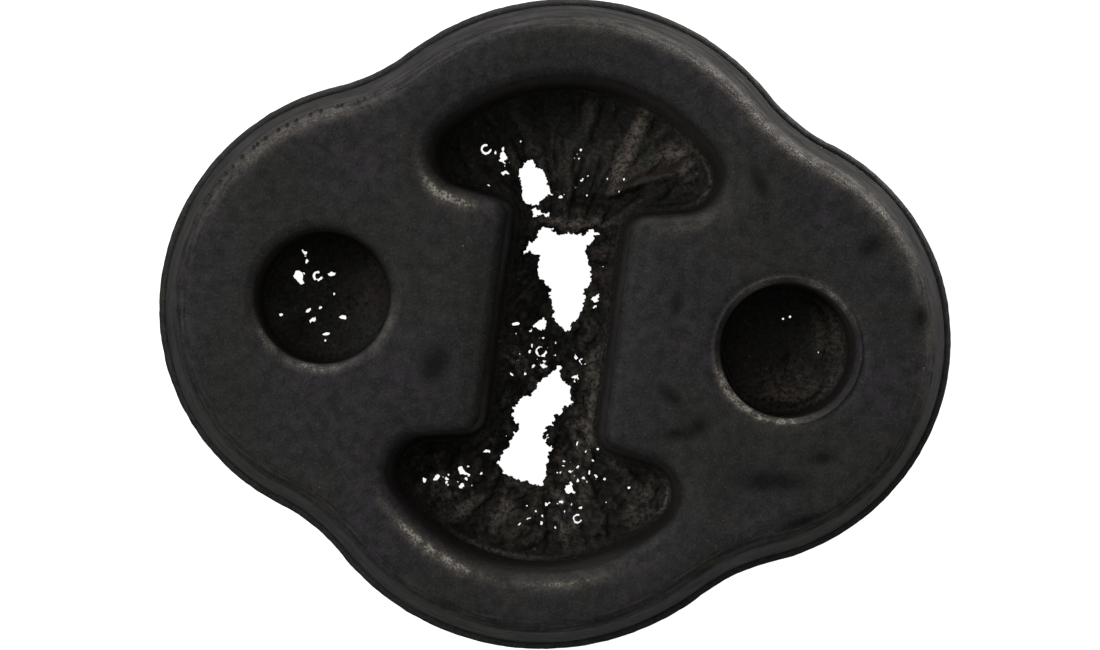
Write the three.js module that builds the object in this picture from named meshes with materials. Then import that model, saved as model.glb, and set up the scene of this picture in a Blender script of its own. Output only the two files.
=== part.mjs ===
// An exhaust hanger, moulded in one piece from black rubber. Millimetres, +Z up.
// It lies on its lower face, with the axes of its two bores along Z, the line through the bores along X
// and the relief slot along Y. The origin is the middle of its footprint on the lower face.
//
// The mould parts at mid height. From the parting line every wall drafts away towards both faces, and
// meets the face in a rounded edge, so the outline, the slot and the bores are each one family of
// offset outlines, stacked along Z. A thin flash stands out all round where the mould halves met, and a
// thin skin with three tears in it still spans the slot there, so the slot is a pocket above and below.
// In use the rubber has taken a small set: the slot and the caps lean over a little, in the plane of X
// and Y, and only the bores are still square to their line.

import * as THREE from 'three';
import { mergeVertices } from 'three/addons/utils/BufferGeometryUtils.js';

// Outline at the parting line: two end lobes round the bores, two caps beyond the slot, four waists.
const THICKNESS = 30;
const LOBE_RADIUS = 20.4;
const LOBE_SPACING = 32.4;
const CAP_RADIUS = 23.9;
const CAP_SPACING = 12.2;
const WAIST_RADIUS = 18.2;
const SIDE_DRAFT = 6;
const SHOULDER_ROUNDING = 1.7;
const SET_LEAN = 1.1;

// Flash left by the mould halves.
const FLASH_WIDTH = 0.6;
const FLASH_ROOT = 0.7;
const FLASH_TIP = 0.25;

// Bores for the hanger rods, 12 mm rods in bores that are a little tight at the parting line.
const BORE_DIAMETER = 11.8;
const BORE_SPACING = 43;
const BORE_DRAFT = 1;
const BORE_RIM_ROUNDING = 0.8;

// Relief slot, shaped like a capital I: a straight web with a curved head at each end.
const WEB_WIDTH = 10;
const CAP_WALL = 7.8;
const HEAD_SWEEP = 98;
const HEAD_END_RADIUS = 2.8;
const HEAD_SHOULDER_TILT = 10;
const WEB_CORNER_AT_FACE = 0.4;
const SLOT_DRAFT = 2.5;
const SLOT_RIM_ROUNDING = 1.3;

// A skin of rubber left across the slot at the parting line, which has torn open in use. Each tear runs
// smoothly through points given as shares of the web's half width and of the slot's half length.
const SKIN_THICKNESS = 0.4;
const BACK_TEAR = [
  [-1.09, 0.61], [-0.92, 0.5], [-0.7, 0.43], [-0.4, 0.45], [-0.6, 0.49], [-0.35, 0.54], [-0.53, 0.62], [-0.98, 0.68],
];
const MIDDLE_TEAR = [
  [-0.75, 0.31], [-0.5, 0.28], [-0.48, 0.21], [-0.11, 0.09], [0.16, -0.03], [0.49, 0.07],
  [0.58, 0.23], [0.41, 0.32], [0.56, 0.42], [0.29, 0.39], [-0.51, 0.41],
];
const FRONT_TEAR = [
  [-0.29, -0.3], [-0.61, -0.38], [-0.46, -0.46], [-0.77, -0.6], [-0.24, -0.68],
  [0.24, -0.69], [0.29, -0.53], [0.12, -0.45], [0.53, -0.31], [0.23, -0.16],
];
const TEAR_STEPS = 3;

// Fineness of the facets: how far a chord may lie inside its arc, and the bands of a rounded edge.
const CHORD_ERROR = 0.025;
const ROUNDING_STEPS = 3;

const RUBBER = new THREE.MeshStandardMaterial({ color: 0x302f32, roughness: 0.82, metalness: 0 });

const halfHeight = THICKNESS / 2;
const capCentre = CAP_SPACING / 2;
const headRadius = CAP_RADIUS - CAP_WALL;

const sine = (degrees) => Math.sin(THREE.MathUtils.degToRad(degrees));
const cosine = (degrees) => Math.cos(THREE.MathUtils.degToRad(degrees));

// One arc of an outline. It turns left from one angle up to a greater one, or right down to a lesser one.
function arc(x, y, radius, from, to) {
  return { x, y, radius, from, to };
}

// A quarter outline, from +X round to +Y, becomes a whole one that is the same in all four quarters.
function mirroredAllRound(quarter) {
  const backwards = [...quarter].reverse();
  const second = backwards.map((a) => arc(-a.x, a.y, a.radius, 180 - a.to, 180 - a.from));
  const third = quarter.map((a) => arc(-a.x, -a.y, a.radius, a.from + 180, a.to + 180));
  const fourth = backwards.map((a) => arc(a.x, -a.y, a.radius, 360 - a.to, 360 - a.from));
  return [...quarter, ...second, ...third, ...fourth];
}

// The points of an outline that has grown outwards by a distance all round. Left-hand arcs gain that
// distance in radius and right-hand arcs lose it, so neighbours stay tangent at every size. The number of
// steps comes from the arc as drawn, so that it is the same at every growth.
function grownOutline(arcs, growth) {
  const points = [];
  for (const { x, y, radius, from, to } of arcs) {
    const turnsRight = to < from;
    const grownRadius = turnsRight ? radius - growth : radius + growth;
    const start = THREE.MathUtils.degToRad(from);
    const end = THREE.MathUtils.degToRad(to);
    const curve = new THREE.EllipseCurve(x, y, grownRadius, grownRadius, start, end, turnsRight);
    const coarsestStep = Math.sqrt((8 * CHORD_ERROR) / radius);
    points.push(...curve.getPoints(Math.ceil(Math.abs(end - start) / coarsestStep)));
  }
  return points.filter((point, i) => point.distanceTo(points.at(i - 1)) > 1e-6);
}

// The upper half of a wall's section, from the parting line to the face: how far the wall has gone back
// into the rubber at each height above the parting line.
function halfSection(draft, rounding) {
  const centreHeight = halfHeight - rounding;
  const centreInset = (rounding + centreHeight * sine(draft)) / cosine(draft);
  const section = [];
  for (let i = 0; i <= ROUNDING_STEPS; i += 1) {
    const angle = draft + ((90 - draft) * i) / ROUNDING_STEPS;
    section.push({
      inset: centreInset - rounding * cosine(angle),
      height: centreHeight + rounding * sine(angle),
    });
  }
  return section;
}

// A whole section, from the lower face to the upper one, with what stands at the parting line between.
function wholeSection(upper, partingLine) {
  const lower = [...upper].reverse().map(({ inset, height }) => ({ inset, height: -height }));
  return [...lower, ...partingLine, ...upper];
}

// An outline as a ring of points at one height above the parting line, leaning over by an angle.
function ring(outline, height, lean) {
  const sideways = Math.tan(THREE.MathUtils.degToRad(lean));
  return outline.map(({ x, y }) => new THREE.Vector3(x + sideways * y, y, halfHeight + height));
}

// The rings of points of a wall, lowest first. A hollow grows where the body shrinks.
function wallRings(arcs, section, { isHollow, lean }) {
  return section.map(({ inset, height }) => ring(grownOutline(arcs, isHollow ? inset : -inset), height, lean));
}

// Where two circles meet, on the side away from the origin.
function outerMeeting(centreA, reachA, centreB, reachB) {
  const between = centreB.clone().sub(centreA);
  const distance = between.length();
  const along = (reachA ** 2 - reachB ** 2 + distance ** 2) / (2 * distance);
  const across = Math.sqrt(reachA ** 2 - along ** 2);
  const unit = between.normalize();
  const foot = centreA.clone().addScaledVector(unit, along);
  return foot.add(new THREE.Vector2(unit.y, -unit.x).multiplyScalar(across));
}

// Half a lobe, a waist that is hollow and tangent to both neighbours, and half a cap.
function bodyOutline() {
  const lobe = new THREE.Vector2(LOBE_SPACING / 2, 0);
  const cap = new THREE.Vector2(0, capCentre);
  const waist = outerMeeting(lobe, LOBE_RADIUS + WAIST_RADIUS, cap, CAP_RADIUS + WAIST_RADIUS);
  const lobeEnd = THREE.MathUtils.radToDeg(waist.clone().sub(lobe).angle());
  const capStart = THREE.MathUtils.radToDeg(waist.clone().sub(cap).angle());
  return mirroredAllRound([
    arc(lobe.x, lobe.y, LOBE_RADIUS, 0, lobeEnd),
    arc(waist.x, waist.y, WAIST_RADIUS, lobeEnd + 180, capStart + 180),
    arc(cap.x, cap.y, CAP_RADIUS, capStart, 90),
  ]);
}

// Half the web's wall, the corner into the head, the head's round end and half its arc, which keeps an
// even wall under the cap. Straight stretches lie between the arcs.
function slotOutline(rimInset) {
  const cornerRadius = WEB_CORNER_AT_FACE + rimInset;
  const headHalf = HEAD_SWEEP / 2;
  const endX = (headRadius - HEAD_END_RADIUS) * sine(headHalf);
  const endY = capCentre + (headRadius - HEAD_END_RADIUS) * cosine(headHalf);
  const downX = sine(HEAD_SHOULDER_TILT);
  const downY = -cosine(HEAD_SHOULDER_TILT);
  const cornerX = WEB_WIDTH / 2 + cornerRadius;
  const alongNormal = endX * downX + endY * downY + HEAD_END_RADIUS + cornerRadius;
  const cornerY = (alongNormal - cornerX * downX) / downY;
  return mirroredAllRound([
    arc(cornerX, cornerY, cornerRadius, 180, 90 + HEAD_SHOULDER_TILT),
    arc(endX, endY, HEAD_END_RADIUS, HEAD_SHOULDER_TILT - 90, 90 - headHalf),
    arc(0, capCentre, headRadius, 90 - headHalf, 90),
  ]);
}

function boreOutline(x) {
  return [arc(x, 0, BORE_DIAMETER / 2, 0, 360)];
}

// The edge of a tear, a closed curve through its points.
function tearOutline(shares) {
  const halfLength = capCentre + headRadius;
  const corners = shares.map(([across, along]) => (
    new THREE.Vector3((across * WEB_WIDTH) / 2, along * halfLength, 0)
  ));
  const edge = new THREE.CatmullRomCurve3(corners, true, 'centripetal');
  return edge.getPoints(shares.length * TEAR_STEPS).slice(1);
}

// Collects triangles from walls and faces, and closes them into one body.
class Shell {
  constructor() {
    this.corners = [];
  }

  triangle(a, b, c, flipped) {
    this.corners.push(a, flipped ? c : b, flipped ? b : c);
  }

  wall(rings, flipped) {
    for (let level = 1; level < rings.length; level += 1) {
      const below = rings[level - 1];
      const above = rings[level];
      below.forEach((point, i) => {
        const next = (i + 1) % below.length;
        this.triangle(point, below[next], above[next], flipped);
        this.triangle(point, above[next], above[i], flipped);
      });
    }
  }

  face(edge, holes, flipped) {
    const points = [edge, ...holes].flat();
    for (const [a, b, c] of THREE.ShapeUtils.triangulateShape(edge, holes)) {
      this.triangle(points[a], points[b], points[c], flipped);
    }
  }

  geometry() {
    const loose = new THREE.BufferGeometry().setFromPoints(this.corners);
    const closed = mergeVertices(loose);
    closed.computeVertexNormals();
    return closed;
  }
}

function hangerBody() {
  const side = halfSection(SIDE_DRAFT, SHOULDER_ROUNDING);
  const slotSide = halfSection(SLOT_DRAFT, SLOT_RIM_ROUNDING);
  const boreSide = halfSection(BORE_DRAFT, BORE_RIM_ROUNDING);
  const flash = [
    { inset: 0, height: -FLASH_ROOT / 2 },
    { inset: -FLASH_WIDTH, height: -FLASH_TIP / 2 },
    { inset: -FLASH_WIDTH, height: FLASH_TIP / 2 },
    { inset: 0, height: FLASH_ROOT / 2 },
  ];
  const boreSection = wholeSection(boreSide, [{ inset: 0, height: 0 }]);
  const slotSection = wholeSection(slotSide, [
    { inset: 0, height: -SKIN_THICKNESS / 2 },
    { inset: 0, height: SKIN_THICKNESS / 2 },
  ]);

  const outside = wallRings(bodyOutline(), wholeSection(side, flash), { isHollow: false, lean: SET_LEAN });
  const bores = [-BORE_SPACING / 2, BORE_SPACING / 2].map((x) => (
    wallRings(boreOutline(x), boreSection, { isHollow: true, lean: 0 })
  ));
  const slot = wallRings(slotOutline(slotSide.at(-1).inset), slotSection, { isHollow: true, lean: SET_LEAN });
  const slotBelow = slot.slice(0, slot.length / 2);
  const slotAbove = slot.slice(slot.length / 2);
  const tears = [BACK_TEAR, MIDDLE_TEAR, FRONT_TEAR].map(tearOutline).map((outline) => [
    ring(outline, -SKIN_THICKNESS / 2, SET_LEAN),
    ring(outline, SKIN_THICKNESS / 2, SET_LEAN),
  ]);

  const shell = new Shell();
  shell.wall(outside, false);
  [...bores, slotBelow, slotAbove, ...tears].forEach((rings) => shell.wall(rings, true));
  shell.face(outside.at(-1), [slotAbove, ...bores].map((rings) => rings.at(-1)), false);
  shell.face(slotAbove[0], tears.map((rings) => rings.at(-1)), false);
  shell.face(slotBelow.at(-1), tears.map((rings) => rings[0]), true);
  shell.face(outside[0], [slotBelow, ...bores].map((rings) => rings[0]), true);

  const mesh = new THREE.Mesh(shell.geometry(), RUBBER);
  mesh.name = 'hanger_body';
  return mesh;
}

const hanger = new THREE.Group();
hanger.add(hangerBody());

export default hanger;
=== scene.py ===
# %% [markdown]
# # An exhaust hanger, moulded in black rubber
#
# An exhaust hanger is one block of rubber with two bores. One bore goes on a rod of the car, the other on a
# rod of the exhaust, and the slot between them lets the rubber stretch. Here the part lies flat on a light
# table and the camera looks straight down on it.
#
# The measured model of the part is the frame for everything below. It gives the size, and nothing in this
# lesson moves or resizes it. We dress it: a fine copy of the moulding, the thin skins and the flash that the
# mould left behind, and a rubber finish.

import math

import bmesh
import bpy
import numpy as np
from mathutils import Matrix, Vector, noise
from mathutils.geometry import delaunay_2d_cdt


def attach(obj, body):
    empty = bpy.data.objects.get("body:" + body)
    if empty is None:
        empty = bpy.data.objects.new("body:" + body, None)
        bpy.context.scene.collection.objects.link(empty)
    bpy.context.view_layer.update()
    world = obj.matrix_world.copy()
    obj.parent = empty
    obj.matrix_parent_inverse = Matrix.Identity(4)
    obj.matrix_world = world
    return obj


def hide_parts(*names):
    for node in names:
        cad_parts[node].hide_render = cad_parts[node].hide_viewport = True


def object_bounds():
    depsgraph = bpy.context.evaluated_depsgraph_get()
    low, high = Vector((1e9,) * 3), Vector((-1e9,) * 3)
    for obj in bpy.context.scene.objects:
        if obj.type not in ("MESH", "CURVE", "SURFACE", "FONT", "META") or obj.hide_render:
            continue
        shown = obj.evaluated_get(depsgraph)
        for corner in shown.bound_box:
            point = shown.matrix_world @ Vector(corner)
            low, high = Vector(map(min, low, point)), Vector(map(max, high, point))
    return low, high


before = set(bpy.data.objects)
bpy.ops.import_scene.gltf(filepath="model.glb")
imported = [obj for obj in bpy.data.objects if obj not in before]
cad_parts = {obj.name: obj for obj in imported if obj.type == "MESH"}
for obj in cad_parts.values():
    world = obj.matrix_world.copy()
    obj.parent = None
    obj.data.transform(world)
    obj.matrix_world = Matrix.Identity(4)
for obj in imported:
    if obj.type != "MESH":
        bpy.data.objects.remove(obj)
cad_low, cad_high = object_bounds()

MM = 0.001
print("measured part:", [round((high - low) / MM, 2) for low, high in zip(cad_low, cad_high)], "mm")

# %% [markdown]
# ## Outlines made of arcs
#
# A toolmaker draws this moulding with arcs that touch without a kink. A point of such an outline has a
# normal, and when the outline grows or shrinks each point only slides along its normal. So we walk along
# the arcs once, keep points and normals, and get every other size of the same outline by one addition. It
# could also be done with bezier curves and a bevel, but then the rings of points would not match.

# %% Walk along an outline
def mirrored_all_round(quarter):
    """Arcs (x, y, radius, from, to) from +X round to +Y, in mm and degrees, become the whole outline."""
    backwards = quarter[::-1]
    second = [(-x, y, r, 180 - end, 180 - start) for x, y, r, start, end in backwards]
    third = [(-x, -y, r, start + 180, end + 180) for x, y, r, start, end in quarter]
    fourth = [(x, -y, r, 360 - end, 360 - start) for x, y, r, start, end in backwards]
    return quarter + second + third + fourth


def walk(arcs, spacing):
    """Points and outward normals along tangent arcs. An arc that turns right has end below start."""
    points, normals = [], []
    for x, y, radius, start, end in arcs:
        count = max(2, math.ceil(math.radians(abs(end - start)) * radius / spacing))
        angles = np.radians(np.linspace(start, end, count + 1))
        ray = np.stack([np.cos(angles), np.sin(angles)], axis=1)
        points.append(np.array([x, y]) + radius * ray)
        normals.append(ray if end > start else -ray)
    walked, facing = [], []
    for i, (arc_points, arc_normals) in enumerate(zip(points, normals)):
        following = points[(i + 1) % len(points)][0]
        gap = np.linalg.norm(following - arc_points[-1])
        walked.append(arc_points[:-1] if gap < 1e-6 else arc_points)
        facing.append(arc_normals[:-1] if gap < 1e-6 else arc_normals)
        steps = math.ceil(gap / spacing)
        if gap > 1e-6 and steps > 1:
            share = np.arange(1, steps)[:, None] / steps
            walked.append(arc_points[-1] + share * (following - arc_points[-1]))
            facing.append(np.repeat(arc_normals[-1:], steps - 1, axis=0))
    return np.concatenate(walked), np.concatenate(facing)


# %% Sizes of the moulding, in mm and degrees
THICKNESS = (cad_high.z - cad_low.z) / MM
MID_HEIGHT = THICKNESS / 2
LOBE_RADIUS, LOBE_SPACING = 20.4, 32.4
CAP_RADIUS, CAP_SPACING = 23.9, 12.2
WAIST_RADIUS = 18.2
SIDE_DRAFT, SHOULDER_ROUNDING = 6, 1.7
SET_LEAN = 1.1
FLASH_WIDTH, FLASH_ROOT, FLASH_TIP = 0.6, 0.7, 0.25
BORE_DIAMETER, BORE_SPACING = 11.8, 43
BORE_DRAFT, BORE_RIM_ROUNDING = 1, 0.8
WEB_WIDTH, CAP_WALL = 10, 7.8
HEAD_SWEEP, HEAD_END_RADIUS, HEAD_SHOULDER_TILT = 98, 2.8, 10
WEB_CORNER_AT_FACE = 0.4
SLOT_DRAFT, SLOT_RIM_ROUNDING = 2.5, 1.3


def sine(degrees):
    return math.sin(math.radians(degrees))


def cosine(degrees):
    return math.cos(math.radians(degrees))


def rim_inset(draft, rounding):
    """How far a wall has gone back into the rubber where its rounded edge meets the face."""
    return (rounding + (MID_HEIGHT - rounding) * sine(draft)) / cosine(draft)


# %% Outlines at the parting line
def body_arcs():
    lobe_x, cap_y = LOBE_SPACING / 2, CAP_SPACING / 2
    reach_lobe, reach_cap = LOBE_RADIUS + WAIST_RADIUS, CAP_RADIUS + WAIST_RADIUS
    apart = math.hypot(lobe_x, cap_y)
    along = (reach_lobe**2 - reach_cap**2 + apart**2) / (2 * apart)
    across = math.sqrt(reach_lobe**2 - along**2)
    unit_x, unit_y = -lobe_x / apart, cap_y / apart
    waist_x = lobe_x + unit_x * along + unit_y * across
    waist_y = unit_y * along - unit_x * across
    lobe_end = math.degrees(math.atan2(waist_y, waist_x - lobe_x))
    cap_start = math.degrees(math.atan2(waist_y - cap_y, waist_x))
    return mirrored_all_round([
        (lobe_x, 0, LOBE_RADIUS, 0, lobe_end),
        (waist_x, waist_y, WAIST_RADIUS, lobe_end + 180, cap_start + 180),
        (0, cap_y, CAP_RADIUS, cap_start, 90),
    ])


def slot_arcs():
    """The relief slot: a web with a curved head at each end, like a capital I."""
    corner = WEB_CORNER_AT_FACE + rim_inset(SLOT_DRAFT, SLOT_RIM_ROUNDING)
    head_radius, half = CAP_RADIUS - CAP_WALL, HEAD_SWEEP / 2
    end_x = (head_radius - HEAD_END_RADIUS) * sine(half)
    end_y = CAP_SPACING / 2 + (head_radius - HEAD_END_RADIUS) * cosine(half)
    down_x, down_y = sine(HEAD_SHOULDER_TILT), -cosine(HEAD_SHOULDER_TILT)
    corner_x = WEB_WIDTH / 2 + corner
    along_normal = end_x * down_x + end_y * down_y + HEAD_END_RADIUS + corner
    corner_y = (along_normal - corner_x * down_x) / down_y
    return mirrored_all_round([
        (corner_x, corner_y, corner, 180, 90 + HEAD_SHOULDER_TILT),
        (end_x, end_y, HEAD_END_RADIUS, HEAD_SHOULDER_TILT - 90, 90 - half),
        (0, CAP_SPACING / 2, head_radius, 90 - half, 90),
    ])


def leaning(points):
    """The rubber has set a little: everything but the bores leans over in the plane."""
    return np.column_stack([points[:, 0] + math.tan(math.radians(SET_LEAN)) * points[:, 1], points[:, 1]])


RING_SPACING = 0.36
body_ring, body_normals = walk(body_arcs(), RING_SPACING)
slot_ring, slot_normals = walk(slot_arcs(), RING_SPACING)
bore_ring, bore_normals = walk([(0, 0, BORE_DIAMETER / 2, 0, 360)], RING_SPACING)
bore_centres = [np.array([side * BORE_SPACING / 2, 0]) for side in (-1, 1)]
print("points round the body, slot and bore:", len(body_ring), len(slot_ring), len(bore_ring))

# %% [markdown]
# ## The moulding itself
#
# The measured model has coarse facets, because the checks need it light. On the real part the walls run
# smoothly from the parting line, slope away, and roll over into the flat faces. We could put a subdivision
# surface on the measured model, but that would round off the bores and shrink the part. Instead we stack
# the same outlines more finely, close the two faces with a triangulation that has points inside, and then
# let every point sink a few hundredths of a millimetre, as rubber does when it cools in the mould.

# %% Stack outlines into walls
WALL_STEP = 0.8
ROUNDING_STEPS = 8


def half_section(draft, rounding, root_height):
    """(inset, height above mid) from the parting line to the face."""
    centre_height = MID_HEIGHT - rounding
    centre_inset = rim_inset(draft, rounding)
    start_inset = centre_inset - rounding * cosine(draft)
    start_height = centre_height + rounding * sine(draft)
    steps = round((start_height - root_height) / WALL_STEP)
    share = np.linspace(0, 1, steps + 1)[:-1]
    straight = [(start_inset * s, root_height + (start_height - root_height) * s) for s in share]
    angles = np.linspace(draft, 90, ROUNDING_STEPS + 1)
    rounded = [(centre_inset - rounding * cosine(a), centre_height + rounding * sine(a)) for a in angles]
    return straight + rounded


def whole_section(draft, rounding, root_height):
    upper = half_section(draft, rounding, root_height)
    lower = [(inset, -height) for inset, height in upper[::-1]]
    if root_height > 0:
        return lower + [(0, 0)] + upper
    return lower[:-1] + upper


def wall_rings(ring, normals, section, grows, leans):
    """Rings of 3-D points, lowest first. A hollow grows where the body shrinks."""
    rings = []
    for inset, height in section:
        flat = ring + normals * (inset if grows else -inset)
        flat = leaning(flat) if leans else flat
        rings.append(np.column_stack([flat, np.full(len(flat), MID_HEIGHT + height)]))
    return rings


# The rims of the bores, from the wall outwards. Each pair is (mm beyond the wall's top, mm below the face).
# The left one is a worn bevel. The right one still has its low bead and the fine groove round it.
BORE_RIMS = [
    [(0.0, 0.95), (0.06, 0.72), (0.17, 0.52), (0.35, 0.33), (0.60, 0.17), (0.85, 0.07), (1.05, 0.02),
     (1.2, 0.0), (1.35, 0.02), (1.5, 0.0)],
    [(0.0, 0.80), (0.05, 0.62), (0.13, 0.48), (0.36, 0.20), (0.50, 0.06), (0.58, 0.01), (0.66, 0.0),
     (0.74, 0.03), (0.82, 0.10), (0.90, 0.13), (1.02, 0.10), (1.25, 0.03), (1.5, 0.0)],
]


def bore_section(rim):
    start = rim_inset(BORE_DRAFT, BORE_RIM_ROUNDING) - BORE_RIM_ROUNDING
    straight = [(inset, height) for inset, height in half_section(BORE_DRAFT, BORE_RIM_ROUNDING, 0)
                if height < MID_HEIGHT - rim[0][1] - 0.2]
    upper = straight + [(start + beyond, MID_HEIGHT - below) for beyond, below in rim]
    lower = [(inset, -height) for inset, height in upper[::-1]]
    return lower[:-1] + upper


walls = [wall_rings(body_ring, body_normals,
                    whole_section(SIDE_DRAFT, SHOULDER_ROUNDING, FLASH_ROOT / 2), False, True)]
walls.append(wall_rings(slot_ring, slot_normals,
                        whole_section(SLOT_DRAFT, SLOT_RIM_ROUNDING, 0), True, True))
for centre, rim in zip(bore_centres, BORE_RIMS):
    walls.append(wall_rings(bore_ring + centre, bore_normals, bore_section(rim), True, False))
print("rings in each wall:", [len(rings) for rings in walls])


# %% Measure distances to outlines
def distance_and_side(outline, points):
    """Distance in mm from each point to a closed outline, and whether the point is inside it."""
    start, end = outline, np.roll(outline, -1, axis=0)
    step = end - start
    length_squared = (step**2).sum(axis=1)
    distance = np.empty(len(points))
    inside = np.empty(len(points), bool)
    for first in range(0, len(points), 2000):
        here = points[first:first + 2000, None, :]
        share = np.clip(((here - start) * step).sum(axis=2) / length_squared, 0, 1)
        nearest = start + share[..., None] * step
        distance[first:first + 2000] = np.linalg.norm(here - nearest, axis=2).min(axis=1)
        spans = (start[:, 1] > here[..., 1]) != (end[:, 1] > here[..., 1])
        rise = np.where(step[:, 1] == 0, 1, step[:, 1])
        crossing = start[:, 0] + (here[..., 1] - start[:, 1]) * step[:, 0] / rise
        inside[first:first + 2000] = (spans & (here[..., 0] < crossing)).sum(axis=1) % 2 == 1
    return distance, inside


def hexagonal_grid(low, high, pitch):
    """Points of a grid of equal triangles between two corners, row by row."""
    rows = []
    for j, y in enumerate(np.arange(low[1], high[1], pitch * math.sqrt(3) / 2)):
        x = np.arange(low[0], high[0], pitch) + (pitch / 2 if j % 2 else 0)
        rows.append(np.column_stack([x, np.full(len(x), y)]))
    return rows


# %% Triangulate the faces between the outlines
FACE_PITCH = 0.6
GRID_CORNER = np.array([38, 31])

face_rings = [rings[-1][:, :2] for rings in walls]
inner_points = np.concatenate(hexagonal_grid(-GRID_CORNER, GRID_CORNER, FACE_PITCH))
keep = np.ones(len(inner_points), bool)
for index, ring in enumerate(face_rings):
    distance, inside = distance_and_side(ring, inner_points)
    keep &= (inside if index == 0 else ~inside) & (distance > 0.55 * FACE_PITCH)
inner_points = inner_points[keep]

ring_starts = np.cumsum([0] + [len(ring) for ring in face_rings])
ring_edges = [(first + i, first + (i + 1) % len(ring))
              for first, ring in zip(ring_starts, face_rings) for i in range(len(ring))]
face_points = np.concatenate(face_rings + [inner_points])
cdt = delaunay_2d_cdt([Vector(p) for p in face_points], ring_edges, [], 0, 1e-7)
cdt_source = [origin[0] for origin in cdt[3]]
triangles = np.array([[cdt_source[i] for i in triangle] for triangle in cdt[2]])
middles = face_points[triangles].mean(axis=1)
keep = distance_and_side(face_rings[0], middles)[1]
for ring in face_rings[1:]:
    keep &= ~distance_and_side(ring, middles)[1]
triangles = triangles[keep]
print("triangles in a face:", len(triangles))


# %% Join walls and faces into one closed shell
def closed_shell():
    vertices, faces = [], []
    first_of = []
    count = 0
    for index, rings in enumerate(walls):
        first_of.append(count)
        size = len(rings[0])
        vertices.extend(rings)
        level = np.arange(len(rings) - 1)[:, None] * size + count
        here, after = np.arange(size), (np.arange(size) + 1) % size
        quads = np.stack([level + here, level + after, level + size + after, level + size + here], axis=2)
        quads = quads.reshape(-1, 4)
        faces.append(quads if index == 0 else quads[:, ::-1])
        count += size * len(rings)
    top_map, bottom_map = [], []
    for first, rings in zip(first_of, walls):
        size = len(rings[0])
        bottom_map.append(first + np.arange(size))
        top_map.append(first + (len(rings) - 1) * size + np.arange(size))
    for mapping, height in ((top_map, THICKNESS), (bottom_map, 0.0)):
        vertices.append(np.column_stack([inner_points, np.full(len(inner_points), height)]))
        mapping.append(count + np.arange(len(inner_points)))
        count += len(inner_points)
    quads = np.concatenate(faces)
    upper = np.concatenate(top_map)[triangles]
    lower = np.concatenate(bottom_map)[triangles][:, ::-1]
    return np.concatenate(vertices), quads.tolist() + upper.tolist() + lower.tolist()


def lengths_along(ring):
    """How far along its outline each point lies, in mm."""
    steps = np.linalg.norm(np.roll(ring, -1, axis=0) - ring, axis=1)
    return np.concatenate([[0], np.cumsum(steps)[:-1]])


shell_vertices, shell_faces = closed_shell()
around = [np.tile(lengths_along(rings[0][:, :2]), len(rings)) for rings in walls]
around = np.concatenate(around + [np.zeros(2 * len(inner_points))])
print("fine moulding:", len(shell_vertices), "points,", len(shell_faces), "faces")


# %% Make a mesh object
def smooth_object(name, vertices_mm, faces):
    """A smooth-shaded mesh object at the origin, with its place in its mesh."""
    mesh = bpy.data.meshes.new(name)
    mesh.from_pydata((np.asarray(vertices_mm) * MM).tolist(), [], faces)
    mesh.validate()
    mesh.shade_smooth()
    piece = bpy.data.objects.new(name, mesh)
    bpy.context.scene.collection.objects.link(piece)
    return piece


def facing_outwards(piece):
    """Turns all faces outwards and prints whether the shell is closed."""
    shell = bmesh.new()
    shell.from_mesh(piece.data)
    bmesh.ops.recalc_face_normals(shell, faces=shell.faces)
    open_edges = sum(1 for edge in shell.edges if not edge.is_manifold)
    print(piece.name, "open edges:", open_edges, "volume cm3:", round(shell.calc_volume() * 1e6, 3))
    shell.to_mesh(piece.data)
    shell.free()


def vertex_positions(piece):
    flat = np.empty(len(piece.data.vertices) * 3)
    piece.data.vertices.foreach_get("co", flat)
    return flat.reshape(-1, 3) / MM


def set_positions(piece, positions_mm):
    piece.data.vertices.foreach_set("co", (positions_mm * MM).ravel())
    piece.data.update()


def add_mask(piece, name, values):
    """A number on every point, which a material can read."""
    attribute = piece.data.attributes.new(name, "FLOAT", "POINT")
    attribute.data.foreach_set("value", np.asarray(values, np.float32))


moulding = smooth_object("rubber_moulding", shell_vertices, shell_faces)
add_mask(moulding, "around_mm", around)
facing_outwards(moulding)


# %% [markdown]
# ### Sinks and dents
#
# Rubber that leaves a hot mould is never quite flat, and a part from a bin has been knocked. We lower each
# point along its normal: a broad, shallow unevenness everywhere, and a few dents at chosen places. All of
# it goes inwards, so the part keeps its outer size.

# %% Let the surface sink unevenly
def smooth_noise(points, size, seed):
    """Noise from about -1 to 1 whose bumps are about size mm wide."""
    values = []
    for p in points:
        height = p[2] if len(p) > 2 else 0
        values.append(noise.noise(Vector((p[0] / size, p[1] / size, height / size + seed))))
    return np.array(values)


def bell(points, x, y, width, length, turn):
    """1 at (x, y), falling to nothing about length mm away along turn degrees and width mm across it."""
    dx, dy = points[:, 0] - x, points[:, 1] - y
    along = dx * cosine(turn) + dy * sine(turn)
    across = dy * cosine(turn) - dx * sine(turn)
    return np.exp(-((along / length) ** 2 + (across / width) ** 2) * 2)


# Broad sinks and finer unevenness: (mm wide, mm deep).
BROAD_SINK, FINE_SINK = (9, 0.10), (2.2, 0.02)
# Both faces dip a little towards the slot's rim.
RIM_DIP, RIM_DIP_WIDTH = 0.22, 1.9
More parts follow.
